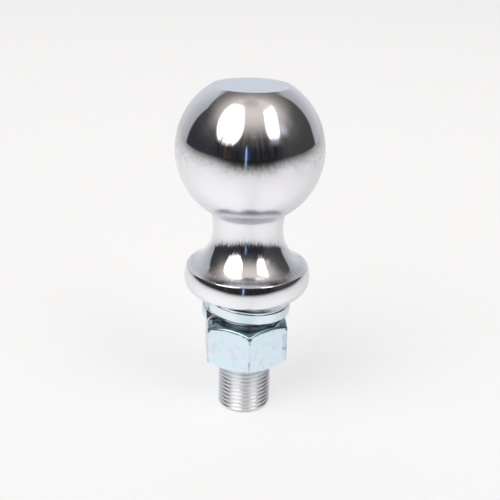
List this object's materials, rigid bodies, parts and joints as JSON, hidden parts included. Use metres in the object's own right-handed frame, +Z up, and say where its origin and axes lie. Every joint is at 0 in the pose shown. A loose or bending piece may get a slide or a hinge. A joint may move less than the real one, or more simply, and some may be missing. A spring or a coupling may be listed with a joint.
{
  "type": "threaded tow ball",
  "caption": "Chromed tow ball on a flanged neck and a threaded shank, with a split lock washer and a hexagon nut.",
  "frame": {"origin": "centre of the shank's end face, on the surface that the ball stands on", "axes": "+Z up the stud's axis from the shank's end to the ball's flat top; -Y towards the viewer of the picture"},
  "size_m": [0.0508, 0.0508, 0.1194],
  "materials": {
    "chrome_plate": "polished chrome plate, with the thread of the shank duller than the ball",
    "zinc_plate_nut": "bright zinc plate with a pale blue passivate",
    "zinc_plate_washer": "bright zinc plate with a pale blue passivate"
  },
  "bodies": {
    "ball_stud": {"tow_ball": "chrome_plate"},
    "washer": {"lock_washer": "zinc_plate_washer"},
    "nut": {"hex_nut": "zinc_plate_nut"}
  },
  "joints": [
    {"name": "thread_travel", "type": "slide", "parent": "ball_stud", "child": "washer", "axis": [0, 0, -1], "range_m": [-0.0005, 0.0361]},
    {"name": "nut_turn", "type": "hinge", "parent": "washer", "child": "nut", "pos_m": [0, 0, 0.0278], "axis": [0, 0, -1], "range_deg": [-113, 8186]}
  ],
  "couplings": [
    {"joint": "thread_travel", "follows": "nut_turn", "m_per_rad": 0.00025266}
  ]
}
